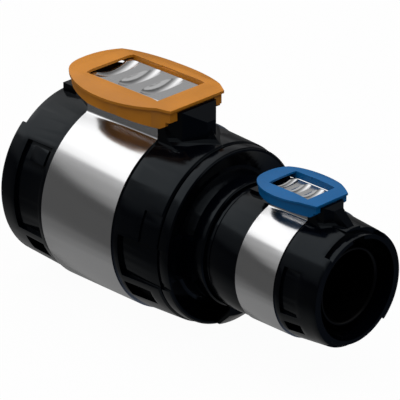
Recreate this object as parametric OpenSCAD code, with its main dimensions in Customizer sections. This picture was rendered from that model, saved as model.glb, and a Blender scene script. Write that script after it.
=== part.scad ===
// Clamp-type reducer for plastic water pipe: two collars, each with a sheet-steel band and a clip.
// The pipe axis is X. The large mouth lies in the plane x = 0, the small mouth faces +X, +Z is up.
// All lengths are in millimetres.

/* [Pipes] */
// outside diameter of the large pipe
large_pipe_d = 63; // [60:0.5:66]
// outside diameter of the small pipe
small_pipe_d = 40; // [37:0.5:42]
// radial room between a pipe and its socket
pipe_gap = 0.5; // [0.2:0.05:0.7]
// wall of the large pipe
large_pipe_wall = 5.8; // [3:0.1:6.5]
// wall of the small pipe
small_pipe_wall = 3.7; // [2:0.1:4.2]

/* [Neck] */
// distance from the large band to the shoulder's front
shoulder_set = 28.5; // [26:0.5:31]
// wall of the shoulder ring around the large bore
shoulder_wall = 1.3; // [1:0.1:1.8]
// length of the neck between the shoulder and the small collar
neck_l = 11.6; // [10.4:0.2:14]
// wall of the neck's ring around the small bore
neck_wall = 2.8; // [2.4:0.1:3.4]

/* [Large collar] */
// room for the grip ring and the seal around the large pipe
large_ring_t = 3.7; // [3.3:0.1:4.2]
// wall of the large collar under its band
large_wall = 2.6; // [2.2:0.1:3.2]
// wall of the large collar at its rim
large_rim_wall = 4.2; // [3.7:0.1:4.8]
// width of the large steel band
large_band_w = 40; // [34:1:42]
// distance from the large mouth to its band
large_band_set = 27; // [24:0.5:30]
// rise of the large crown over its band
large_crown_rise = 13.4; // [12:0.2:14.6]
// half-width of the large crown
large_crown_half = 12.9; // [11.5:0.1:13.5]
// length of an ear of the large collar along the axis
large_ear_l = 10.1; // [7:0.1:11]
// reach of the large front ear's prow from the band
large_prow_l = 16.9; // [13:0.1:19]
// reach of the large front ear's foot from the band
large_foot_l = 28.4; // [24:0.2:30]
// reach of the ridge behind the large rear ear from the band
large_ridge_l = 22; // [16:0.5:23]

/* [Small collar] */
// room for the grip ring and the seal around the small pipe
small_ring_t = 3.2; // [2.8:0.1:3.6]
// wall of the small collar under its band
small_wall = 2; // [1.7:0.1:2.4]
// wall of the small collar at its rim
small_rim_wall = 3.1; // [2.7:0.1:3.6]
// width of the small steel band
small_band_w = 20; // [17:0.5:21]
// distance from the small mouth to its band
small_band_set = 19.7; // [18:0.1:22]
// distance from the small collar's inner end to its band
small_band_back = 15.2; // [14:0.1:18]
// rise of the small crown over its band
small_crown_rise = 6; // [5.2:0.1:7]
// half-width of the small crown
small_crown_half = 7.4; // [6.6:0.1:8]
// length of an ear of the small collar along the axis
small_ear_l = 6.7; // [5:0.1:7.4]
// reach of the small front ear's prow from the band
small_prow_l = 16.2; // [13:0.1:16.6]
// reach of the small front ear's foot from the band
small_foot_l = 21; // [17:0.2:22]
// reach of the ridge behind the small rear ear from the band
small_ridge_l = 12.4; // [8:0.2:13]

/* [Bands] */
// sheet thickness of the large band
large_sheet = 1.2; // [0.8:0.1:1.5]
// sheet thickness of the small band
small_sheet = 0.8; // [0.6:0.1:1]
// depth of the large band's dimples
large_dimple = 3; // [1.5:0.1:3.4]
// depth of the small band's dimples
small_dimple = 1.7; // [1:0.1:2]
// distance between the large band's dimples
large_dimple_pitch = 12.6; // [10.5:0.1:13]
// distance between the small band's dimples
small_dimple_pitch = 6.8; // [5.8:0.1:7]

/* [Clips] */
// height of the large clip's plate in its middle
large_clip_t = 4.6; // [4:0.1:5.4]
// height of the small clip's plate in its middle
small_clip_t = 3.2; // [2.8:0.1:3.8]
// reach of the large clip behind its widest place
large_clip_nose = 33.3; // [30:0.1:35]
// reach of the large clip in front of its widest place
large_clip_front = 30.5; // [29:0.1:32]
// greatest half-width of the large clip
large_clip_half = 23.1; // [21.6:0.1:25]
// reach of the small clip behind its widest place
small_clip_nose = 17.3; // [15.8:0.1:19]
// reach of the small clip in front of its widest place
small_clip_front = 17.2; // [16.4:0.1:18.4]
// greatest half-width of the small clip
small_clip_half = 13.6; // [12.8:0.1:14.6]
// height of the large clip's side skirt
large_skirt_h = 6.3; // [5:0.1:7]
// height of the small clip's side skirt
small_skirt_h = 3.4; // [2.6:0.1:4]
// radius of both clips' tops across the axis
clip_across_r = 85; // [70:5:120]
// radius of the large clip's top along the axis
large_clip_top_r = 229; // [190:1:280]
// radius of the small clip's top along the axis
small_clip_top_r = 128; // [110:1:180]

/* [Inner parts] */
// wall of the large support sleeve
large_sleeve_wall = 2.4; // [1.8:0.1:3]
// wall of the small support sleeve
small_sleeve_wall = 1.7; // [1.4:0.1:2.2]
// length of the guide land inside a mouth
land_l = 4; // [3:0.2:6]
// length of the large grip ring
large_grip_l = 33; // [28:1:34]
// length of the small grip ring
small_grip_l = 15; // [12:0.5:15.5]
// length of a backing ring
backing_l = 2.6; // [2:0.1:3]
// length of the large seal
large_seal_l = 8; // [6:0.5:9]
// length of the small seal
small_seal_l = 5; // [4:0.5:6]

/* [Hidden] */
$fn = 96;
slide = 0.1;                 // radial room of parts that slide together
clip_gap = 0.15;             // room between a crown and its clip
clip_shift = 1.3;            // a clip is widest this far behind its band's middle
clip_fullness = 0.88;        // roundness of a clip's nose, 1 for an ellipse
relief = 0.4;                // step from a mouth's land to the wider bore behind it
lip = 1.7;                   // wall of the lip that stays where the rim stands back
rim_back = 3;                // how far the rim stands back at the top and at the bottom
seat_step = 0.3;             // a sleeve is this much thinner where it sits in the body
sleeve_set = land_l + 0.2;   // distance from a mouth to the end of its sleeve
sleeve_ring_d = 2;           // cord of the large sleeve's rubber ring

black = [0.05, 0.05, 0.06];
steel = [0.75, 0.76, 0.78];
orange = [0.80, 0.47, 0.16];
blue = [0.10, 0.38, 0.66];
grey = [0.55, 0.56, 0.58];
rubber = [0.10, 0.10, 0.10];

// Stations of the large end, from its mouth inwards.
large_socket_r = large_pipe_d / 2 + pipe_gap;
large_bore_r = large_pipe_d / 2 + large_ring_t;
large_seat_r = large_bore_r + large_wall;
large_band_r = large_seat_r + large_sheet;
large_rim_r = large_socket_r + large_rim_wall;
large_crown_z = large_band_r + large_crown_rise;
large_band_x0 = large_band_set;
large_band_x1 = large_band_x0 + large_band_w;
large_grip_x0 = large_band_x0;
large_backing_x0 = large_grip_x0 + large_grip_l;
large_seal_x0 = large_backing_x0 + backing_l;
large_drum_x = large_seal_x0 + large_seal_l;
large_stop_x = large_drum_x + 6;
large_sleeve_r = large_pipe_d / 2 - large_pipe_wall - 0.2;
large_sleeve_end = large_stop_x + 10;

// Shoulder and neck.
shoulder_x = large_band_x1 + shoulder_set;
shoulder_r = large_bore_r + shoulder_wall;
groove_x = shoulder_x - 5.3;        // joint between the large collar and the shoulder ring
neck_ring_x0 = shoulder_x + 2.5;
neck_ring_x1 = neck_ring_x0 + 6.5;
web_half = 8.8;                     // half-width of the webs between the shoulder and the neck

// Stations of the small end, from the neck to its mouth.
small_socket_r = small_pipe_d / 2 + pipe_gap;
small_bore_r = small_pipe_d / 2 + small_ring_t;
small_seat_r = small_bore_r + small_wall;
small_band_r = small_seat_r + small_sheet;
small_rim_r = small_socket_r + small_rim_wall;
small_crown_z = small_band_r + small_crown_rise;
neck_ring_r = small_bore_r + neck_wall;
small_collar_x = shoulder_x + neck_l;
small_band_x0 = small_collar_x + small_band_back;
small_band_x1 = small_band_x0 + small_band_w;
total_l = small_band_x1 + small_band_set;
small_grip_x1 = small_band_x1;
small_backing_x1 = small_grip_x1 - small_grip_l;
small_seal_x1 = small_backing_x1 - backing_l;
small_drum_x = small_seal_x1 - small_seal_l;
small_stop_x = small_drum_x - 4.5;
small_sleeve_r = small_pipe_d / 2 - small_pipe_wall - 0.1;
small_sleeve_end = small_stop_x - 8;

// Underside of each clip's plate, where the ears end.
large_under_z = large_crown_z - 2.4;
small_under_z = small_crown_z - 0.4;
ear_taper = 0.757;           // half-width of a front ear's face as a share of its width at the band
flank_a = 39.7;              // angle between the flanks of a front ear's foot and the axis
rear_share = 0.9;            // length of a rear ear as a share of the front ear's
rear_taper = 0.66;           // the same for a rear ear

// Angles from the top, in degrees, of what is repeated on both sides.
rim_step = 41;
slot_a0 = 115;
slot_a1 = 128;
panel_a1 = 110;

// Solid turned about the pipe axis from [radius, x] points.
module turned(points) rotate([0, 90, 0]) rotate_extrude() polygon(points);

// Plain ring about the pipe axis.
module ring(x0, x1, r_in, r_out) turned([[r_in, x0], [r_out, x0], [r_out, x1], [r_in, x1]]);

// Part of a ring between two angles from the top, on the near side.
module sector(x0, x1, r_in, r_out, a0, a1)
    rotate([0, 90, 0]) rotate([0, 0, 180 + a0]) rotate_extrude(angle = a1 - a0)
        translate([r_in, x0]) square([r_out - r_in, x1 - x0]);

// The same sector on both sides of the part.
module sectors(x0, x1, r_in, r_out, a0, a1)
    for (s = [0, 1]) mirror([0, s, 0]) sector(x0, x1, r_in, r_out, a0, a1);

// Profile in the plane across the pipe, drawn out along it.
module along(x0, x1) translate([x0, 0, 0]) rotate([90, 0, 90]) linear_extrude(x1 - x0) children();

// Points of a hollow curve that leaves [a, b] downwards and ends level, da further out and db lower.
function flare(a, b, da, db, n = 8) =
    [for (i = [0:n]) [a + da * (1 - cos(90 * i / n)), b - db * sin(90 * i / n)]];

// Upright arch with rounded upper corners.
module arch(half, top, rc) {
    translate([-half, 0]) square([2 * half, top - rc]);
    translate([-half + rc, 0]) square([2 * (half - rc), top]);
    for (s = [-1, 1]) translate([s * (half - rc), top - rc]) circle(rc);
}

// Ring with an arch on top and hollow bends of radius f where they meet.
module crowned_disc(r, half, top, rc, f) {
    bend_y = half + f;
    bend_z = sqrt(pow(r + f, 2) - pow(bend_y, 2));
    touch = r / (r + f);
    circle(r);
    arch(half, top, rc);
    for (s = [-1, 1]) scale([s, 1]) difference() {
        polygon([[half - 1, bend_z], [bend_y, bend_z], [bend_y * touch, bend_z * touch],
                 [half - 1, bend_z * touch - 1]]);
        translate([bend_y, bend_z]) circle(f);
    }
}

// Wheel that presses one dimple into a crown; grow gives the outside of the pressed sheet.
module dimple_wheel(x, crown_z, depth, span, grow) {
    wheel_r = (pow(span, 2) + pow(depth, 2)) / (2 * depth);
    tread = depth * 1.35;
    translate([x, 0, crown_z + wheel_r - depth]) rotate([0, 90, 0])
        rotate_extrude() translate([wheel_r - tread, 0]) circle(tread + grow);
}

// Three dimples in a row about x; where open is over zero the rearmost runs out over the band's edge.
module dimples(x0, x, crown_z, depth, span, pitch, open, grow) {
    for (k = [-1:1]) dimple_wheel(x + k * pitch, crown_z, depth, span, grow);
    if (open > 0) {
        wheel_r = (pow(0.75 * span, 2) + pow(open, 2)) / (2 * open);
        translate([x0 - 1, 0, crown_z + wheel_r - open]) rotate([0, 90, 0])
            cylinder(r = wheel_r + grow, h = x - pitch - x0 + 1);
    }
}

module press_band(x0, w, r, t, half, crown_z, depth, pitch, shift, open) {
    x1 = x0 + w;
    mid = (x0 + x1) / 2 - shift;
    span = half - 1.6 * t;
    bend = 1.5 * t;
    difference() {
        union() {
            along(x0, x1) difference() {
                crowned_disc(r, half, crown_z, 1.8 * t, bend);
                crowned_disc(r - t, half - t, crown_z - t, 0.8 * t, bend + t);
            }
            intersection() {
                translate([x0, t / 2 - half, crown_z - t - depth]) cube([w, 2 * half - t, t / 2 + depth]);
                dimples(x0, mid, crown_z, depth, span, pitch, open, t);
            }
        }
        dimples(x0, mid, crown_z, depth, span, pitch, open, 0);
    }
}

// Upper half of a clip's plan about its widest place: a full curve to the rear, a flat arc in front.
function clip_side(nose, front, half, drop, inset) =
    let (side_r = (pow(front, 2) + pow(drop, 2)) / (2 * drop), end_a = asin((front - inset) / (side_r - inset)))
    concat([for (i = [0:11]) [-(nose - inset) * pow(cos(7.5 * i), clip_fullness),
                              (half - inset) * pow(sin(7.5 * i), clip_fullness)]],
           [for (i = [0:8]) [(side_r - inset) * sin(end_a * i / 8),
                             half - side_r + (side_r - inset) * cos(end_a * i / 8)]]);

// Clip's plan drawn up from z0 to z1 about its widest place.
module clip_block(x, z0, z1, nose, front, half, inset = 0) {
    side = clip_side(nose, front, half, 0.36 * half, inset);
    translate([x, 0, z0]) linear_extrude(z1 - z0)
        polygon(concat(side, [for (i = [len(side) - 1:-1:1]) [side[i][0], -side[i][1]]]));
}

// All that lies under a clip's crowned top, or under a surface that follows it further down.
module clip_crown(x, reach, top_z, top_r, down) intersection() {
    translate([x - reach, 0, top_z - clip_across_r]) rotate([0, 90, 0])
        cylinder(r = clip_across_r - down, h = 2 * reach, $fn = 360);
    translate([x, reach, top_z - top_r]) rotate([90, 0, 0]) cylinder(r = top_r - down, h = 2 * reach, $fn = 720);
}

// Clip that frames a crown: crowned plate with a thin rim and a window, a skirt that stands back from
// the rim, and passages for the ears.
module clip(x0, w, win, under, t, nose, front, half, top_r, skirt_h, rim, wall, ear_half) {
    mid = x0 + w / 2;
    wide_x = mid - clip_shift;
    tip_x = wide_x - nose;
    end_x = wide_x + front;
    crest_x = wide_x - 3.3;
    low = under - skirt_h;
    top_z = under + t;
    skin = 0.25 * t;
    reach = nose + front;
    door_z = low + 0.45 * skirt_h;
    difference() {
        intersection() {
            clip_block(wide_x, low, top_z + 1, nose, front, half);
            clip_crown(crest_x, reach, top_z, top_r, 0);
        }
        // Outside of the skirt, under the rim.
        difference() {
            clip_crown(crest_x, reach, top_z, top_r, skin);
            clip_block(wide_x, low - 1, top_z + 1, nose, front, half, rim);
        }
        // Hollow under the plate, higher behind the window.
        clip_block(wide_x, low - 1, under, nose, front, half, rim + wall);
        intersection() {
            clip_block(wide_x, under - 1, top_z, nose, front, half, rim + wall);
            clip_crown(crest_x, reach, top_z, top_r, skin);
            translate([tip_x, -win, low]) cube([x0 - tip_x, 2 * win, top_z]);
        }
        // The skirt is deepest near its front corner and rises to the nose.
        translate([0, half + 1, 0]) rotate([90, 0, 0]) linear_extrude(2 * half + 2)
            polygon([[tip_x - 1, low - 1], [end_x + 1, low - 1], [end_x + 1, door_z], [end_x - 0.085 * front, door_z],
                     [end_x - 0.085 * front, low + 0.2 * skirt_h], [end_x - 0.16 * front, low],
                     [wide_x + 0.2 * front, low + 0.3 * skirt_h], [wide_x - 0.27 * nose, low + 0.3 * skirt_h],
                     [wide_x - 0.66 * nose, low + 0.6 * skirt_h], [wide_x - 0.87 * nose, low + 1.05 * skirt_h],
                     [tip_x - 1, low + 1.05 * skirt_h]]);
        for (s = [0, 1]) translate([s * (2 * x0 + w), 0, low - 1]) mirror([s, 0, 0]) linear_extrude(skirt_h + 1)
            polygon([[x0 + w - 1, -ear_half - 0.6], [x0 + w - 1, ear_half + 0.6],
                     [end_x + 1, ear_taper * ear_half + 0.3], [end_x + 8, ear_taper * ear_half + 0.3],
                     [end_x + 8, -ear_taper * ear_half - 0.3], [end_x + 1, -ear_taper * ear_half - 0.3]]);
        translate([x0 - clip_gap, -win, under - 1]) cube([w + 2 * clip_gap, 2 * win, 2 * t + 2]);
        // Shallow notch in the window's far edge.
        translate([mid - 0.1 * w, 0, under + 0.6 * t]) cube([0.2 * w, win + 0.06 * t, 2 * t]);
    }
}

// All that lies on the inner side of one hollow flank, which meets the axis at x_tip.
module flank(x_tip, spread, waist_z, side_z) {
    curve = flare(-spread, waist_z, spread, waist_z - side_z);
    translate([x_tip, 0, 0]) rotate([0, 0, -flank_a]) along(-60, 20)
        polygon(concat(curve, [[0, 0], [-60, 0], [-60, waist_z]]));
}

// Ear that stands on a collar beside the band and looks along +X, from the band's edge at x to x1. Its
// front draws in to a prow through [x, half-width, height] points, over a foot with two hollow flanks.
module ear(x, x1, half, front, top_z, x_tip, spread, waist_z, side_z) {
    last = len(front) - 1;
    side = flare(half - 0.6, waist_z, 0.45 * spread, waist_z - side_z + 1.5);
    intersection() {
        linear_extrude(top_z)
            polygon(concat([[x, -half], [x, half]], [for (p = front) [p[0], p[1]]],
                           [for (i = [last:-1:0]) [front[i][0], -front[i][1]]]));
        translate([0, half + 1, 0]) rotate([90, 0, 0]) linear_extrude(2 * half + 2)
            polygon(concat([[x - 1, 0], [x - 1, top_z]], [for (p = front) [p[0], p[2]]], [[front[last][0], 0]]));
    }
    intersection() {
        flank(x_tip, spread, waist_z, side_z);
        mirror([0, 1, 0]) flank(x_tip, spread, waist_z, side_z);
        along(x, x1) polygon(concat([[side[len(side) - 1][0], 0]], [for (i = [len(side) - 1:-1:0]) side[i]],
                                       [for (q = side) [-q[0], q[1]]], [[-side[len(side) - 1][0], 0]]));
    }
}

// Ear that looks along -X from the band's edge at x. It draws in to a low ridge that runs on behind it.
module rear_ear(x, l, ridge_l, half, ridge_half, top_z, ridge_z) {
    face_half = rear_taper * half;
    linear_extrude(top_z) polygon([[x, -half], [x, half], [x - l, face_half], [x - l, -face_half]]);
    linear_extrude(ridge_z)
        polygon([[x, -half], [x, half], [x - l, face_half], [x - 0.65 * ridge_l, ridge_half],
                 [x - ridge_l, ridge_half], [x - ridge_l, -ridge_half], [x - 0.65 * ridge_l, -ridge_half],
                 [x - l, -face_half]]);
}

module large_clamp_shell() color(black) {
    difference() {
        union() {
            turned([
                [large_socket_r, 0], [large_rim_r, 0], [large_rim_r + 0.9, 1.2],
                [large_band_r - 0.6, large_band_x0 - slide], [large_seat_r, large_band_x0 - slide],
                [large_seat_r, large_band_x1 + slide], [large_band_r - 0.6, large_band_x1 + slide],
                [shoulder_r + 0.9, groove_x - 0.8], [shoulder_r + 0.2, groove_x],
                [large_bore_r, groove_x], [large_bore_r, large_grip_x0 - slide],
                [large_socket_r + relief, large_grip_x0 - slide], [large_socket_r + relief, land_l],
                [large_socket_r, land_l]
            ]);
            difference() {
                union() {
                    ear(large_band_x1 + slide, groove_x, large_crown_half - 0.5,
                        [[large_band_x1 + large_ear_l, ear_taper * (large_crown_half - 0.5), large_under_z],
                         [large_band_x1 + large_prow_l, 2.4, large_under_z - 4]],
                        large_under_z, large_band_x1 + large_foot_l, spread = 7.6,
                        waist_z = large_under_z - 4, side_z = large_band_r - 3);
                    rear_ear(large_band_x0 - slide, rear_share * large_ear_l, large_ridge_l, half = large_crown_half - 1.5,
                             ridge_half = 5.6, top_z = large_under_z, ridge_z = large_band_r + 1.5);
                }
                ring(-1, total_l, 0, large_seat_r - 1);
                ring(groove_x, total_l, 0, large_band_r + 9);
            }
        }
        // The rim stands back at the top and at the bottom.
        for (a = [0, 180 - rim_step]) sectors(-1, rim_back, large_socket_r + lip, large_band_r, a, a + rim_step);
        // Side panels, the front one open to the shoulder ring.
        sectors(9, large_band_x0 - 3, large_rim_r - 0.4, large_band_r + 1, 50, panel_a1);
        sectors(large_band_x1 + 3, groove_x + 1, shoulder_r - 0.2, large_band_r + 1, 82, panel_a1);
        sectors(groove_x - 9.4, groove_x + 1, shoulder_r + 0.5, large_band_r + 1, 62, 83);
        // Slots low on both sides.
        sectors(large_band_x0 - 15, large_band_x0 - 4, large_rim_r - 1.6, large_band_r + 1, slot_a0, slot_a1);
        sectors(large_band_x1 + 3, large_band_x1 + 17, large_bore_r + 0.6, large_band_r + 1, slot_a0, slot_a1);
    }
    // Latch tab in each rear side panel.
    sectors(14, 22, large_rim_r - 0.6, large_rim_r + 1.1, 52, 62);
}

module small_clamp_shell() color(black) {
    difference() {
        union() {
            turned([
                [small_bore_r, small_collar_x], [small_band_r - 1, small_collar_x],
                [small_band_r - 0.4, small_collar_x + 1], [small_band_r - 0.4, small_band_x0 - slide],
                [small_seat_r, small_band_x0 - slide], [small_seat_r, small_band_x1 + slide],
                [small_band_r - 0.4, small_band_x1 + slide], [small_rim_r + 0.9, total_l - 7],
                [small_rim_r + 0.4, total_l - 1.2], [small_rim_r, total_l], [small_socket_r, total_l],
                [small_socket_r, total_l - land_l], [small_socket_r + relief, total_l - land_l],
                [small_socket_r + relief, small_grip_x1 + slide],
                [small_bore_r, small_grip_x1 + slide]
            ]);
            difference() {
                union() {
                    ear(small_band_x1 + slide, total_l - rim_back, small_crown_half - 0.2,
                        [[small_band_x1 + small_ear_l, ear_taper * (small_crown_half - 0.2), small_under_z],
                         [small_band_x1 + small_ear_l + 2.4, 2.5, small_under_z - 1.3],
                         [small_band_x1 + small_prow_l, 1.6, small_under_z - 7]],
                        small_under_z, small_band_x1 + small_foot_l, spread = 6.2,
                        waist_z = small_under_z - 3, side_z = small_band_r - 2.9);
                    rear_ear(small_band_x0 - slide, rear_share * small_ear_l, small_ridge_l, half = small_crown_half - 0.6,
                             ridge_half = 5, top_z = small_under_z, ridge_z = small_band_r + 1);
                }
                ring(0, total_l + 1, 0, small_seat_r - 0.8);
            }
            // Low ridge from the front ear to the rim.
            intersection() {
                translate([small_band_x1, -4, 0]) cube([total_l - rim_back - small_band_x1, 8, 30]);
                ring(small_band_x1 + small_ear_l, total_l - rim_back, small_socket_r + 1, small_rim_r + 1.5);
            }
        }
        // The rim stands back at the top and at the bottom.
        for (a = [0, 180 - rim_step])
            sectors(total_l - rim_back, total_l + 1, small_socket_r + lip, small_band_r + 1, a, a + rim_step);
        // Key groove at the top of the mouth.
        translate([total_l - 12, -3.1, small_socket_r - 1]) cube([13, 6.2, 2.3]);
        // Side panels and slots.
        sectors(small_band_x1 + 2.5, small_band_x1 + 10.5, small_rim_r + 0.5, small_band_r + 1, 62, 106);
        sectors(small_band_x1 + 3, small_band_x1 + 11, small_rim_r - 1, small_band_r + 1, slot_a0, slot_a1);
    }
}

module reducer_body() color(black) {
    difference() {
        union() {
            turned([
                [large_socket_r, large_drum_x], [large_bore_r - slide, large_drum_x],
                [large_bore_r - slide, groove_x + slide], [shoulder_r - 0.3, groove_x + slide],
                [shoulder_r + 0.3, groove_x + 0.9], [shoulder_r, shoulder_x - 0.6],
                [shoulder_r - 0.6, shoulder_x], [shoulder_r - 1.4, shoulder_x],
                [neck_ring_r + 2.4, shoulder_x - 3.4], [neck_ring_r + 1, shoulder_x - 3.2],
                [neck_ring_r - 1.2, neck_ring_x0 - 1], [neck_ring_r, neck_ring_x0],
                [neck_ring_r, neck_ring_x1 - 0.6], [neck_ring_r - 0.6, neck_ring_x1],
                [neck_ring_r - 2, neck_ring_x1], [neck_ring_r - 2, small_collar_x - slide],
                [small_bore_r - slide, small_collar_x - slide], [small_bore_r - slide, small_drum_x],
                [small_socket_r, small_drum_x], [small_socket_r, small_stop_x],
                [small_sleeve_r - seat_step + slide, small_stop_x],
                [small_sleeve_r - seat_step + slide, small_sleeve_end],
                [small_sleeve_r - small_sleeve_wall, small_sleeve_end],
                [large_sleeve_r - large_sleeve_wall, large_sleeve_end],
                [large_sleeve_r - seat_step + slide, large_sleeve_end],
                [large_sleeve_r - seat_step + slide, large_stop_x],
                [large_socket_r, large_stop_x]
            ]);
            // Gusset between the shoulder ring and the neck, underneath.
            intersection() {
                turned([
                    [neck_ring_r - 2, shoulder_x - 4], [shoulder_r - 0.5, shoulder_x - 4],
                    [shoulder_r - 0.5, shoulder_x + 1.6], [neck_ring_r + 4.5, neck_ring_x1 - 1.6],
                    [neck_ring_r - 2, neck_ring_x1 - 1.6]
                ]);
                translate([shoulder_x - 5, -web_half, -shoulder_r - 1]) cube([20, 2 * web_half, shoulder_r]);
            }
            // Webs across the dished shoulder, on both sides.
            intersection() {
                ring(shoulder_x - 4, neck_ring_x0 + 2, neck_ring_r - 4, shoulder_r - 1.2);
                union() {
                    translate([shoulder_x - 4, -40, -web_half]) cube([3.8, 80, 2 * web_half]);
                    translate([shoulder_x - 1, -neck_ring_r - 1, -web_half])
                        cube([6, 2 * neck_ring_r + 2, 2 * web_half]);
                }
            }
        }
        // The shoulder ring is cut back at the sides, in line with the collar's panels.
        sectors(groove_x - 1, shoulder_x + 1, shoulder_r - 0.7, large_band_r, 82, panel_a1);
    }
}

module large_press_band() color(steel)
    press_band(large_band_x0, large_band_w, large_band_r, large_sheet, large_crown_half, large_crown_z,
               large_dimple, large_dimple_pitch, 3.3, 1.7);

module small_press_band() color(steel)
    press_band(small_band_x0, small_band_w, small_band_r, small_sheet, small_crown_half, small_crown_z,
               small_dimple, small_dimple_pitch, 1.3, 0);

module large_clip() color(orange)
    clip(large_band_x0, large_band_w, large_crown_half + clip_gap, large_under_z, large_clip_t, large_clip_nose,
         large_clip_front, large_clip_half, large_clip_top_r, large_skirt_h, rim = 0.9, wall = 1.4,
         ear_half = large_crown_half - 0.5);

module small_clip() color(blue)
    clip(small_band_x0, small_band_w, small_crown_half + clip_gap, small_under_z, small_clip_t, small_clip_nose,
         small_clip_front, small_clip_half, small_clip_top_r, small_skirt_h, rim = 0.5, wall = 1.1,
         ear_half = small_crown_half - 0.2);

// Thin sleeve that props the pipe from inside. It is thinner where it sits in the body, with a groove
// for its rubber ring there.
module support_sleeve(x_mouth, x_stop, x_end, r, wall, ring_x, ring_d) {
    dir = x_end > x_mouth ? 1 : -1;
    seat_x = x_stop - slide * dir;
    difference() {
        turned([
            [r - wall, x_mouth + 0.6 * dir], [r - wall + 0.5, x_mouth], [r - 0.6, x_mouth],
            [r, x_mouth + 1.2 * dir], [r, seat_x], [r - seat_step, seat_x], [r - seat_step, x_end],
            [r - wall, x_end]
        ]);
        ring(ring_x - ring_d / 2, ring_x + ring_d / 2, r - seat_step - 0.65 * ring_d, r + 1);
    }
}

module large_support_sleeve() color(grey)
    support_sleeve(sleeve_set, large_stop_x, large_sleeve_end, large_sleeve_r, large_sleeve_wall,
                   large_sleeve_end - 5, sleeve_ring_d);

module small_support_sleeve() color(grey)
    support_sleeve(total_l - sleeve_set, small_stop_x, small_sleeve_end, small_sleeve_r, small_sleeve_wall,
                   small_sleeve_end + 4, 0.6 * sleeve_ring_d);

// Split ring with saw teeth that bite into the pipe; the teeth lean towards dir.
module grip_ring(x0, l, pipe_r, r_out, teeth, dir, split) {
    root_r = pipe_r + 1.3;
    tip_r = pipe_r + 0.25;
    pitch = l / (teeth + 1);
    start = x0 + pitch / 2;
    difference() {
        turned(concat(
            [[root_r, x0], [r_out, x0], [r_out, x0 + l], [root_r, x0 + l]],
            [for (i = [teeth - 1:-1:0], k = [1, 0])
                let (x = start + (i + (k == 1 ? 1 : 0)) * pitch)
                k == 1 ? [dir > 0 ? tip_r : root_r, x - (dir > 0 ? 0.3 : 0)]
                       : [dir > 0 ? root_r : tip_r, x + (dir > 0 ? 0 : 0.3)]]
        ));
        translate([x0 - 1, -split / 2, 0]) cube([l + 2, split, r_out + 1]);
    }
}

module large_grip_ring() color(grey)
    grip_ring(large_grip_x0, large_grip_l, large_pipe_d / 2, large_bore_r - slide, 8, 1, 8);

module small_grip_ring() color(grey)
    grip_ring(small_backing_x1, small_grip_l, small_pipe_d / 2, small_bore_r - slide, 5, -1, 6);

module large_backing_ring() color(black)
    ring(large_backing_x0, large_backing_x0 + backing_l, large_socket_r, large_bore_r - slide);

module small_backing_ring() color(black)
    ring(small_backing_x1 - backing_l, small_backing_x1, small_socket_r, small_bore_r - slide);

// Lip seal: solid heel against the drum, a groove between two lips towards the mouth.
module lip_seal(x_heel, l, dir, pipe_r, r_out) {
    mid = (pipe_r + r_out) / 2;
    x_lip = x_heel + l * dir;
    turned([
        [pipe_r + 0.45, x_heel], [r_out, x_heel], [r_out, x_lip], [mid + 0.7, x_lip],
        [mid, x_heel + 0.45 * l * dir], [mid - 0.4, x_lip], [pipe_r + 0.15, x_lip],
        [pipe_r + 0.15, x_lip - 1 * dir], [pipe_r + 0.45, x_lip - 2 * dir]
    ]);
}

module large_seal() color(rubber)
    lip_seal(large_drum_x, large_seal_l, -1, large_pipe_d / 2, large_bore_r - slide);

module small_seal() color(rubber)
    lip_seal(small_drum_x, small_seal_l, 1, small_pipe_d / 2, small_bore_r - slide);

// Rubber ring in a sleeve's groove, pressed between groove and seat.
module sleeve_ring(x, r, d) {
    bottom = r - 0.65 * d;
    turned([
        [bottom, x - 0.3 * d], [bottom, x + 0.3 * d], [r - 0.2 * d, x + 0.45 * d],
        [r + slide, x + 0.2 * d], [r + slide, x - 0.2 * d], [r - 0.2 * d, x - 0.45 * d]
    ]);
}

module large_sleeve_ring() color(rubber)
    sleeve_ring(large_sleeve_end - 5, large_sleeve_r - seat_step, sleeve_ring_d);

module small_sleeve_ring() color(rubber)
    sleeve_ring(small_sleeve_end + 4, small_sleeve_r - seat_step, 0.6 * sleeve_ring_d);

reducer_body();
large_clamp_shell();
small_clamp_shell();
large_press_band();
small_press_band();
large_clip();
small_clip();
large_support_sleeve();
small_support_sleeve();
large_grip_ring();
small_grip_ring();
large_backing_ring();
small_backing_ring();
large_seal();
small_seal();
large_sleeve_ring();
small_sleeve_ring();
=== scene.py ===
"""Clamp-type pipe reducer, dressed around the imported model.

The black collars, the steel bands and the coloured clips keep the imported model's shapes. Each gets
its rounded edges from modifiers and its surface from a procedural finish. The pipe axis is X, the
small mouth faces +X and the clips stand on top, along +Z. Lengths are in metres.
"""

import logging
import math
from dataclasses import dataclass
from enum import Enum

import bpy
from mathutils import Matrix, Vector


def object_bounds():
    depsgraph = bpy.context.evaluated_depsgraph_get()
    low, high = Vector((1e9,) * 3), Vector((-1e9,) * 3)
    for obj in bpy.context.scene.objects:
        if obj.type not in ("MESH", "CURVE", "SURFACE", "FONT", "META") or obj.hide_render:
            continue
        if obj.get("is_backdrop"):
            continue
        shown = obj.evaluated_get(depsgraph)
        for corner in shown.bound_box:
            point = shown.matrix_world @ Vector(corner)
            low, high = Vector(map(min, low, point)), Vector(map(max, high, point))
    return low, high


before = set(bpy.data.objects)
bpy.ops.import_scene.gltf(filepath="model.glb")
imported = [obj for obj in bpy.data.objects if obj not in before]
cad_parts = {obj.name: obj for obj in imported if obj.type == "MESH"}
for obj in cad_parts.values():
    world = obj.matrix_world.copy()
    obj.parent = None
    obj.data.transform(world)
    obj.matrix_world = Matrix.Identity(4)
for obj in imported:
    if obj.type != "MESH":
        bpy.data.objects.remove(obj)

MM = 0.001
LOG = logging.getLogger("pipe_reducer")


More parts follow.
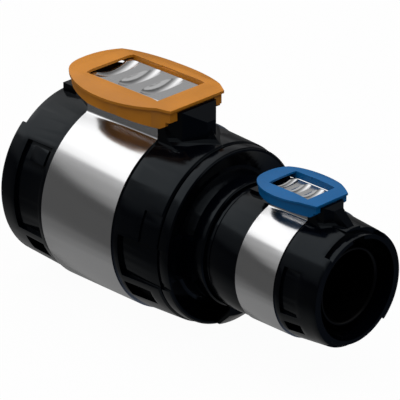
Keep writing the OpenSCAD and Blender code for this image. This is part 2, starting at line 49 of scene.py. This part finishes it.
class Ray(Enum):
    """Kinds of light path that the room and the floor tell apart."""

    CAMERA = "Is Camera Ray"
    GLOSSY = "Is Glossy Ray"
    TRANSMISSION = "Is Transmission Ray"


class NodeSheet:
    """Short-hand for wiring one node tree."""

    def __init__(self, tree: bpy.types.NodeTree) -> None:
        """Empties the tree.

        Args:
            tree: Node tree of a material or of the world.
        """
        self.tree = tree
        tree.nodes.clear()

    def add(self, kind: str, **settings: object) -> bpy.types.Node:
        """Adds a node and sets its properties.

        Args:
            kind: Node type without the ShaderNode prefix.
            **settings: Properties of the node.

        Returns:
            The new node.
        """
        node = self.tree.nodes.new("ShaderNode" + kind)
        for name, value in settings.items():
            setattr(node, name, value)
        return node

    def put(self, socket: bpy.types.NodeSocket, value: object) -> None:
        """Links a socket to another, or sets its constant.

        Args:
            socket: Input that gets the value.
            value: Output socket to link from, a number, or a colour.
        """
        if isinstance(value, bpy.types.NodeSocket):
            self.tree.links.new(value, socket)
        else:
            socket.default_value = value

    def maths(self, operation: str, *values: object, clamp: bool = False) -> bpy.types.NodeSocket:
        """Adds a Math node.

        Args:
            operation: Name of the operation.
            *values: Numbers or output sockets, one for each input used.
            clamp: Whether the result stays between 0 and 1.

        Returns:
            The result's socket.
        """
        node = self.add("Math", operation=operation, use_clamp=clamp)
        for socket, value in zip(node.inputs, values):
            self.put(socket, value)
        return node.outputs["Value"]

    def product(self, *values: object) -> bpy.types.NodeSocket:
        """Multiplies values.

        Args:
            *values: Two or more numbers or output sockets.

        Returns:
            The product's socket.
        """
        result = values[0]
        for value in values[1:]:
            result = self.maths("MULTIPLY", result, value)
        return result

    def total(self, *values: object) -> bpy.types.NodeSocket:
        """Adds values up.

        Args:
            *values: Two or more numbers or output sockets.

        Returns:
            The sum's socket.
        """
        result = values[0]
        for value in values[1:]:
            result = self.maths("ADD", result, value)
        return result

    def seen(self, *rays: Ray) -> bpy.types.NodeSocket:
        """Gives 1 on the light paths named.

        Args:
            *rays: Kinds of path.

        Returns:
            The sum's socket, between 0 and 1.
        """
        path = self.add("LightPath")
        found = path.outputs[rays[0].value]
        for ray in rays[1:]:
            found = self.maths("ADD", found, path.outputs[ray.value], clamp=True)
        return found

    def span(self, value: object, low: float, high: float, to: tuple[float, float] = (0.0, 1.0),
             smooth: bool = False) -> bpy.types.NodeSocket:
        """Maps a range of a value to another range and stops at both ends.

        Args:
            value: Output socket to read.
            low: Value that gives the first number of to.
            high: Value that gives the second number of to.
            to: The two ends of the result.
            smooth: Whether the ends are eased.

        Returns:
            The result's socket.
        """
        node = self.add("MapRange", interpolation_type="SMOOTHSTEP" if smooth else "LINEAR")
        names = ("Value", "From Min", "From Max", "To Min", "To Max")
        for name, number in zip(names, (value, low, high, *to)):
            self.put(node.inputs[name], number)
        return node.outputs["Result"]

    def blend(self, share: object, first: object, second: object) -> bpy.types.NodeSocket:
        """Mixes two colours.

        Args:
            share: Number or socket that gives the second colour's share.
            first: Colour or socket at share 0.
            second: Colour or socket at share 1.

        Returns:
            The mixed colour's socket.
        """
        node = self.add("Mix", data_type="RGBA")
        self.put(node.inputs[0], share)
        self.put(node.inputs[6], first)
        self.put(node.inputs[7], second)
        return node.outputs[2]

    def noise(self, vector: bpy.types.NodeSocket, scale: float, detail: float) -> bpy.types.NodeSocket:
        """Adds a noise texture.

        Args:
            vector: Place to read, in metres.
            scale: Features per metre.
            detail: Octaves of the noise.

        Returns:
            The noise's value, around 0.5.
        """
        node = self.add("TexNoise")
        self.put(node.inputs["Vector"], vector)
        self.put(node.inputs["Scale"], scale)
        self.put(node.inputs["Detail"], detail)
        return node.outputs["Fac"]


def rgba(colour: tuple[float, float, float]) -> tuple[float, float, float, float]:
    """Gives a linear colour its alpha."""
    return (*colour, 1.0)


@dataclass(frozen=True)
class Finish:
    """Surface of one kind of material.

    Args:
        slot: The record's material slot.
        colour: Linear base colour.
        roughness: Mean roughness.
    """

    slot: str
    colour: tuple[float, float, float]
    roughness: float

    def material(self) -> bpy.types.Material:
        """Builds the finish's material.

        Returns:
            The new material.
        """
        made = bpy.data.materials.new("finish_" + self.slot)
        made.use_nodes = True
        sheet = NodeSheet(made.node_tree)
        place = sheet.add("TexCoord").outputs["Object"]
        shader = sheet.add("BsdfPrincipled")
        self.surface(sheet, place, shader)
        sheet.put(sheet.add("OutputMaterial").inputs["Surface"], shader.outputs["BSDF"])
        return made

    def surface(self, sheet: NodeSheet, place: bpy.types.NodeSocket, shader: bpy.types.Node) -> None:
        """Wires the finish's texture into its shader.

        Args:
            sheet: The material's node tree.
            place: Object coordinates in metres.
            shader: The Principled shader.
        """
        raise NotImplementedError

    def relief(self, sheet: NodeSheet, height: bpy.types.NodeSocket, depth: float,
               shader: bpy.types.Node) -> None:
        """Raises the surface by a height map.

        Args:
            sheet: The material's node tree.
            height: Height between 0 and 1.
            depth: Depth of the relief in metres.
            shader: The Principled shader.
        """
        bump = sheet.add("Bump")
        sheet.put(bump.inputs["Strength"], 1.0)
        sheet.put(bump.inputs["Distance"], depth)
        sheet.put(bump.inputs["Height"], height)
        sheet.put(shader.inputs["Normal"], bump.outputs["Normal"])


@dataclass(frozen=True)
class MouldedPlastic(Finish):
    """Injection-moulded plastic with a fine grain and faint flow marks.

    Args:
        grain: Depth of the grain in metres.
        mottle: How far the colour wanders, as a share.
        sheen: Strength of the mirror part, 0.5 for plain plastic.
        tint: Colour of the mirror part.
        flow_rate: Flow marks per metre.
        smudge_rate: Patches of other roughness per metre.
        grain_rate: Grains per metre.
        smudge: How much smoother and how much rougher the patches are.
    """

    grain: float = 0.004 * MM
    mottle: float = 0.10
    sheen: float = 0.5
    tint: tuple[float, float, float] = (1.0, 1.0, 1.0)
    flow_rate: float = 45.0
    smudge_rate: float = 320.0
    grain_rate: float = 5200.0
    smudge: tuple[float, float] = (0.03, 0.04)

    def surface(self, sheet: NodeSheet, place: bpy.types.NodeSocket, shader: bpy.types.Node) -> None:
        """Wires colour, smudges and grain.

        Args:
            sheet: The material's node tree.
            place: Object coordinates in metres.
            shader: The Principled shader.
        """
        flow = sheet.noise(place, self.flow_rate, 2.0)
        darker = tuple(c * (1.0 - self.mottle) for c in self.colour)
        lighter = tuple(c * (1.0 + self.mottle) for c in self.colour)
        paint = sheet.blend(sheet.span(flow, 0.35, 0.65), rgba(darker), rgba(lighter))
        sheet.put(shader.inputs["Base Color"], paint)
        smudges = sheet.noise(place, self.smudge_rate, 4.0)
        spread = (self.roughness - self.smudge[0], self.roughness + self.smudge[1])
        sheet.put(shader.inputs["Roughness"], sheet.span(smudges, 0.3, 0.7, spread))
        sheet.put(shader.inputs["Specular IOR Level"], self.sheen)
        sheet.put(shader.inputs["Specular Tint"], rgba(self.tint))
        self.relief(sheet, sheet.noise(place, self.grain_rate, 2.0), self.grain, shader)


@dataclass(frozen=True)
class RolledSteel(Finish):
    """Bright rolled sheet whose fine lines run round the band.

    Args:
        line_pitch: Distance between lines in metres.
        line_depth: Depth of the lines in metres.
        line_tone: How far the lines change the colour, as a share.
        line_shine: How far they change the roughness.
        cloud_shine: How far the clouds change it.
        cloud_rate: Clouds per metre.
        stretch: Scale of the lines across, round and up, which draws them out round the band.
    """

    line_pitch: float = 0.16 * MM
    line_depth: float = 0.0004 * MM
    line_tone: float = 0.012
    line_shine: float = 0.012
    cloud_shine: float = 0.008
    cloud_rate: float = 60.0
    stretch: tuple[float, float, float] = (1.0, 0.02, 0.02)

    def surface(self, sheet: NodeSheet, place: bpy.types.NodeSocket, shader: bpy.types.Node) -> None:
        """Wires the metal, its lines and its faint clouds.

        Args:
            sheet: The material's node tree.
            place: Object coordinates in metres.
            shader: The Principled shader.
        """
        drawn = sheet.add("Mapping")
        sheet.put(drawn.inputs["Vector"], place)
        sheet.put(drawn.inputs["Scale"], self.stretch)
        lines = sheet.noise(drawn.outputs["Vector"], 1.0 / self.line_pitch, 2.0)
        clouds = sheet.noise(place, self.cloud_rate, 3.0)
        drift = (self.roughness - self.cloud_shine, self.roughness + self.cloud_shine)
        shine = sheet.total(sheet.span(lines, 0.3, 0.7, (-self.line_shine, self.line_shine)),
                            sheet.span(clouds, 0.3, 0.7, drift))
        bright = tuple(c * (1.0 + self.line_tone) for c in self.colour)
        dull = tuple(c * (1.0 - self.line_tone) for c in self.colour)
        paint = sheet.blend(sheet.span(lines, 0.3, 0.7), rgba(dull), rgba(bright))
        sheet.put(shader.inputs["Base Color"], paint)
        sheet.put(shader.inputs["Metallic"], 1.0)
        sheet.put(shader.inputs["Roughness"], shine)
        self.relief(sheet, lines, self.line_depth, shader)


@dataclass(frozen=True)
class SealRubber(Finish):
    """Matt rubber with a dusty bloom.

    Args:
        bloom: Colour of the bloom.
        bloom_rate: Dusty patches per metre.
        bloom_shine: How far the dust changes the roughness.
        grain: Depth of the grain in metres.
        grain_rate: Grains per metre.
    """

    bloom: tuple[float, float, float] = (0.035, 0.035, 0.035)
    bloom_rate: float = 400.0
    bloom_shine: float = 0.06
    grain: float = 0.01 * MM
    grain_rate: float = 2500.0

    def surface(self, sheet: NodeSheet, place: bpy.types.NodeSocket, shader: bpy.types.Node) -> None:
        """Wires the rubber and its bloom.

        Args:
            sheet: The material's node tree.
            place: Object coordinates in metres.
            shader: The Principled shader.
        """
        dust = sheet.noise(place, self.bloom_rate, 5.0)
        paint = sheet.blend(sheet.span(dust, 0.45, 0.8), rgba(self.colour), rgba(self.bloom))
        sheet.put(shader.inputs["Base Color"], paint)
        spread = (self.roughness - self.bloom_shine, self.roughness + self.bloom_shine)
        sheet.put(shader.inputs["Roughness"], sheet.span(dust, 0.3, 0.7, spread))
        self.relief(sheet, sheet.noise(place, self.grain_rate, 3.0), self.grain, shader)


FINISHES = (
    # Black plastic: its faint navy base colour and blue-tinted mirror part are painted light, a blue
    # cast for the shaded collars and their low reflections. The reflections themselves come from the
    # room.
    MouldedPlastic("black_plastic", (0.0004, 0.0007, 0.0018), 0.14, mottle=0.15, sheen=0.20,
                   tint=(0.80, 0.92, 1.0)),
    RolledSteel("steel", (0.72, 0.72, 0.725), 0.19),
    MouldedPlastic("orange_plastic", (0.62, 0.226, 0.013), 0.42, sheen=0.43),
    MouldedPlastic("blue_plastic", (0.001, 0.118, 0.340), 0.42, sheen=0.3),
    # Sleeve plastic: near-black with a weak mirror part, darkened so the sleeve reads as dark as the
    # shade deep in the bore. This darkness is painted shade.
    MouldedPlastic("sleeve_plastic", (0.0004, 0.0004, 0.0005), 0.32, sheen=0.15),
    MouldedPlastic("grip_plastic", (0.30, 0.31, 0.32), 0.5),
    SealRubber("rubber", (0.010, 0.010, 0.010), 0.7),
)


@dataclass
class Workshop:
    """Keeps the finished materials and dresses the pieces in them.

    Args:
        finishes: The finishes to build.
        weld_gap: Points of a node's mesh closer than this are joined, in metres.
        flat_angle: Faces that meet at less than this are one flat face, in degrees.
        sharp_angle: Edges sharper than this are rounded, in degrees.
        rounding_steps: Strips of faces in a rounded edge.
    """

    finishes: tuple[Finish, ...] = FINISHES
    weld_gap: float = 0.002 * MM
    flat_angle: float = 0.3
    sharp_angle: float = 28.0
    rounding_steps: int = 3

    def __post_init__(self) -> None:
        """Builds one material for each finish."""
        self.materials = {finish.slot: finish.material() for finish in self.finishes}

    def dress(self, node: str, slot: str, edge: float = 0.0) -> None:
        """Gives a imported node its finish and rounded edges.

        Args:
            node: Name of the node.
            slot: Material slot of its finish.
            edge: Radius of its edges in metres, 0 for none.
        """
        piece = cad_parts[node]
        piece.data.materials.clear()
        piece.data.materials.append(self.materials[slot])
        if edge > 0:
            weld = piece.modifiers.new("weld", "WELD")
            weld.merge_threshold = self.weld_gap
            flat = piece.modifiers.new("flat_faces", "DECIMATE")
            flat.decimate_type = "DISSOLVE"
            flat.angle_limit = math.radians(self.flat_angle)
            rounding = piece.modifiers.new("rounding", "BEVEL")
            rounding.width = edge
            rounding.segments = self.rounding_steps
            rounding.limit_method = "ANGLE"
            rounding.angle_limit = math.radians(self.sharp_angle)
            rounding.use_clamp_overlap = True
            rounding.harden_normals = True
        LOG.info("%s dressed in %s", node, slot)


@dataclass
class CollarEnd:
    """One end of the reducer: collar, band, clip and the parts held inside.

    Args:
        side: First word of its nodes' names.
        clip_slot: Material slot of its clip.
        collar_edge: Radius of the collar's edges in metres.
        clip_edge: Radius of the clip's edges in metres.
        band_edge: Radius of the band's edges in metres.
        sleeve_edge: Radius of the support sleeve's edges in metres.
    """

    side: str
    clip_slot: str
    collar_edge: float
    clip_edge: float
    band_edge: float
    sleeve_edge: float = 0.1 * MM

    def build(self, shop: Workshop) -> None:
        """Dresses the end's nodes.

        Args:
            shop: Source of the materials.
        """
        shop.dress(self.side + "_clamp_shell", "black_plastic", self.collar_edge)
        shop.dress(self.side + "_press_band", "steel", self.band_edge)
        shop.dress(self.side + "_clip", self.clip_slot, self.clip_edge)
        shop.dress(self.side + "_support_sleeve", "sleeve_plastic", self.sleeve_edge)
        shop.dress(self.side + "_grip_ring", "grip_plastic")
        shop.dress(self.side + "_backing_ring", "black_plastic")
        shop.dress(self.side + "_seal", "rubber")
        shop.dress(self.side + "_sleeve_ring", "rubber")


@dataclass
class Core:
    """The moulded core with its shoulder and neck.

    Args:
        edge: Radius of its edges in metres.
    """

    edge: float = 0.35 * MM

    def build(self, shop: Workshop) -> None:
        """Dresses the core.

        Args:
            shop: Source of the materials.
        """
        shop.dress("reducer_body", "black_plastic", self.edge)


@dataclass(frozen=True)
class Fade:
    """Change of a brightness with a ray's direction.

    Args:
        start: Where the change starts.
        end: Where it ends.
        levels: Brightness up to the start and from the end on.
        smooth: Whether it eases in and out.
    """

    start: float
    end: float
    levels: tuple[float, float] = (0.0, 1.0)
    smooth: bool = False

    def wire(self, sheet: NodeSheet, part: bpy.types.NodeSocket) -> bpy.types.NodeSocket:
        """Wires the change.

        Args:
            sheet: Node tree to wire in.
            part: The part of the ray's direction that it goes by.

        Returns:
            The brightness.
        """
        return sheet.span(part, self.start, self.end, self.levels, self.smooth)


@dataclass(frozen=True)
class Heading:
    """Parts of the direction in which a ray runs out to the room.

    Args:
        along: Part along the pipe axis, towards the small mouth.
        up: Part upwards.
        forward: The part along over the part upwards, as on a flat ceiling.
        reach: The part towards the far side over the part upwards.
    """

    along: bpy.types.NodeSocket
    up: bpy.types.NodeSocket
    forward: bpy.types.NodeSocket
    reach: bpy.types.NodeSocket


@dataclass(frozen=True)
class Room:
    """White room whose lights show in the steel and on the collars.

    The eye sees plain white. Mirroring surfaces see the lights, and matt ones see an even light that
    shows the colours.

    Args:
        ceiling: Brightness of the ceiling light from the near side over to the far side.
        near_edge: Where the ceiling light ends towards the viewer.
        near_halo: Faint light beyond that edge.
        front_dim: How the ceiling light dims towards the small mouth.
        front_edge: Where it ends beyond the small mouth.
        foot: Height over the horizon at which the lights begin.
        back_light: Weaker light behind the far side of the small mouth, by reach.
        back_edge: Where that light begins, by its place along the axis.
        ground_glow: Mirrored brightness of the ground, up to the horizon.
        air_dim: What the air above the horizon lacks of it.
        sky: Even light from above.
        ground: Even light from below.
        far_tone: Mirrored colour of the ground beyond the small mouth.
        far_edge: Where that colour begins along the axis.
        far_top: Where it ends towards the horizon.
        flattest: Least height at which places on the ceiling are told apart.
    """

    ceiling: Fade = Fade(-0.05, 1.1, (1.40, 0.34))
    near_edge: Fade = Fade(-1.03, -0.87)
    near_halo: Fade = Fade(-4.6, -0.93, (0.0, 0.30))
    front_dim: Fade = Fade(0.35, -0.55, (0.2, 1.0), smooth=True)
    front_edge: Fade = Fade(0.7, 0.35)
    foot: Fade = Fade(0.08, 0.30, smooth=True)
    back_light: Fade = Fade(-0.05, 0.25, (0.0, 0.55), smooth=True)
    back_edge: Fade = Fade(0.55, 0.85, smooth=True)
    ground_glow: Fade = Fade(-0.68, -0.40, (0.25, 0.09))
    air_dim: Fade = Fade(0.0, 0.35, (0.0, -0.05))
    sky: Fade = Fade(0.25, 0.95, (0.02, 1.54), smooth=True)
    ground: Fade = Fade(-0.45, -0.85, (0.0, 1.00), smooth=True)
    far_tone: tuple[float, float, float] = (0.62, 0.74, 1.0)
    far_edge: Fade = Fade(0.25, 0.55)
    far_top: Fade = Fade(0.0, -0.3)
    flattest: float = 0.05

    def heading(self, sheet: NodeSheet) -> Heading:
        """Splits a ray's direction.

        Args:
            sheet: The world's node tree.

        Returns:
            The parts that the lights go by.
        """
        split = sheet.add("SeparateXYZ")
        sheet.put(split.inputs["Vector"], sheet.add("TexCoord").outputs["Generated"])
        along, across, up = (split.outputs[axis] for axis in "XYZ")
        height = sheet.maths("MAXIMUM", up, self.flattest)
        forward = sheet.maths("DIVIDE", along, height)
        reach = sheet.maths("DIVIDE", across, height)
        return Heading(along, up, forward, reach)

    def lights(self, sheet: NodeSheet, ray: Heading) -> bpy.types.NodeSocket:
        """Wires the ceiling light and the weaker light behind the small mouth.

        Args:
            sheet: The world's node tree.
            ray: The ray's direction.

        Returns:
            Their brightness.
        """
        foot = self.foot.wire(sheet, ray.up)
        halo = self.near_halo.wire(sheet, ray.reach)
        near = sheet.maths("MAXIMUM", halo, self.near_edge.wire(sheet, ray.reach))
        front_dim = self.front_dim.wire(sheet, ray.forward)
        front = sheet.product(front_dim, self.front_edge.wire(sheet, ray.forward))
        overhead = sheet.product(self.ceiling.wire(sheet, ray.reach), near, front, foot)
        back = self.back_edge.wire(sheet, ray.forward)
        behind = sheet.product(self.back_light.wire(sheet, ray.reach), back, foot)
        return sheet.total(overhead, behind)

    def build(self) -> None:
        """Wires the world."""
        world = bpy.data.worlds.new("studio")
        bpy.context.scene.world = world
        world.use_nodes = True
        sheet = NodeSheet(world.node_tree)
        ray = self.heading(sheet)
        eye = sheet.seen(Ray.CAMERA, Ray.TRANSMISSION)
        unseen = sheet.maths("SUBTRACT", 1.0, eye)
        glossy = sheet.product(sheet.seen(Ray.GLOSSY), unseen)
        matt = sheet.maths("SUBTRACT", unseen, glossy)
        mirrored = sheet.total(self.ground_glow.wire(sheet, ray.up), self.air_dim.wire(sheet, ray.up),
                               self.lights(sheet, ray))
        even = sheet.total(self.sky.wire(sheet, ray.up), self.ground.wire(sheet, ray.up))
        far = self.far_edge.wire(sheet, ray.along)
        tinted = sheet.product(far, self.far_top.wire(sheet, ray.up), glossy)
        back = sheet.add("Background")
        sheet.put(back.inputs["Color"], sheet.blend(tinted, rgba((1.0, 1.0, 1.0)), rgba(self.far_tone)))
        strength = sheet.total(eye, sheet.product(glossy, mirrored), sheet.product(matt, even))
        sheet.put(back.inputs["Strength"], strength)
        sheet.put(sheet.add("OutputWorld").inputs["Surface"], back.outputs["Background"])


@dataclass(frozen=True)
class Floor:
    """Pale floor that is white to the eye and keeps the object's shadow.

    Args:
        paint: Brightness of the matt paint.
        white: Share of plain white that the eye sees.
        side: Length of its sides in metres.
        drop: How far it lies under the object, in metres.
        middle: Its middle along the pipe axis.
    """

    paint: float = 0.70
    white: float = 0.97
    side: float = 6.0
    drop: float = 0.2 * MM
    middle: float = 0.08

    def material(self) -> bpy.types.Material:
        """Builds the floor's material.

        Returns:
            The new material.
        """
        made = bpy.data.materials.new("floor")
        made.use_nodes = True
        sheet = NodeSheet(made.node_tree)
        matt = sheet.add("BsdfDiffuse")
        sheet.put(matt.inputs["Color"], rgba((self.paint, self.paint, self.paint)))
        glow = sheet.add("Emission")
        sheet.put(glow.inputs["Color"], rgba((1.0, 1.0, 1.0)))
        sheet.put(glow.inputs["Strength"], 1.0)
        mix = sheet.add("MixShader")
        sheet.put(mix.inputs["Fac"], sheet.product(sheet.seen(Ray.CAMERA), self.white))
        sheet.put(mix.inputs[1], matt.outputs["BSDF"])
        sheet.put(mix.inputs[2], glow.outputs["Emission"])
        sheet.put(sheet.add("OutputMaterial").inputs["Surface"], mix.outputs["Shader"])
        return made

    def build(self) -> None:
        """Lays the floor under the object."""
        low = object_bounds()[0].z
        bpy.ops.object.select_all(action="DESELECT")
        bpy.ops.mesh.primitive_plane_add(size=self.side, location=(self.middle, 0.0, low - self.drop))
        ground = bpy.context.object
        ground.name = "floor"
        ground.data.materials.append(self.material())
        ground.visible_glossy = False
        ground.visible_diffuse = False
        ground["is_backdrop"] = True


@dataclass
class Studio:
    """Camera at the photograph's viewpoint, the room, the floor and one soft lamp.

    Args:
        azimuth: Camera's bearing in degrees, 0 looking along +Y.
        elevation: Camera's height over the horizon in degrees.
        distance: Distance from the camera to its target in metres.
        target: Point in the middle of the picture.
        lens: Focal length in millimetres.
        film: Width of the camera's sensor in millimetres.
        lamp_place: Where the lamp hangs, on the near side.
        lamp_side: Length of its sides in metres.
        lamp_watts: Its power.
    """

    azimuth: float = 44.9
    elevation: float = 24.96
    distance: float = 1.2542
    target: tuple[float, float, float] = (0.0774, 0.0001, 0.00985)
    lens: float = 285.6
    film: float = 36.0
    lamp_place: tuple[float, float, float] = (-0.25, -0.9, 0.75)
    lamp_side: float = 0.9
    lamp_watts: float = 0.5

    def place(self, name: str, data: bpy.types.ID, where: Vector, gaze: Vector) -> bpy.types.Object:
        """Adds a camera or a lamp to the scene.

        Args:
            name: Its name.
            data: The camera's or lamp's data.
            where: Where it stands.
            gaze: Direction in which it looks.

        Returns:
            The new object.
        """
        unit = bpy.data.objects.new(name, data)
        bpy.context.scene.collection.objects.link(unit)
        unit.location = where
        unit.rotation_mode = "QUATERNION"
        unit.rotation_quaternion = gaze.to_track_quat("-Z", "Y")
        return unit

    def camera(self) -> None:
        """Places the camera."""
        bearing, height = math.radians(self.azimuth), math.radians(self.elevation)
        level = math.cos(height)
        back = Vector((math.sin(bearing) * level, -math.cos(bearing) * level, math.sin(height)))
        data = bpy.data.cameras.new("camera")
        data.lens = self.lens
        data.sensor_width = self.film
        data.clip_start = 0.01
        data.clip_end = 20.0
        where = Vector(self.target) + back * self.distance
        bpy.context.scene.camera = self.place("camera", data, where, -back)

    def lamp(self) -> None:
        """Hangs the soft lamp, which shows in no mirror."""
        data = bpy.data.lights.new("fill", "AREA")
        data.shape = "SQUARE"
        data.size = self.lamp_side
        data.energy = self.lamp_watts
        where = Vector(self.lamp_place)
        unit = self.place("fill", data, where, Vector(self.target) - where)
        unit.visible_glossy = False
        unit.visible_camera = False

    def build(self) -> None:
        """Sets up the whole studio."""
        bpy.context.scene.view_settings.view_transform = "Standard"
        self.camera()
        Room().build()
        Floor().build()
        self.lamp()
        LOG.info("studio set up")


def main() -> None:
    """Builds the studio and dresses the reducer."""
    logging.basicConfig(level=logging.INFO, format="%(name)s: %(message)s")
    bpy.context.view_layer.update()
    Studio().build()
    shop = Workshop()
    Core().build(shop)
    CollarEnd("large", "orange_plastic", collar_edge=0.5 * MM, clip_edge=0.8 * MM,
              band_edge=0.3 * MM).build(shop)
    CollarEnd("small", "blue_plastic", collar_edge=0.35 * MM, clip_edge=0.55 * MM,
              band_edge=0.2 * MM).build(shop)


if __name__ == "__main__":
    main()
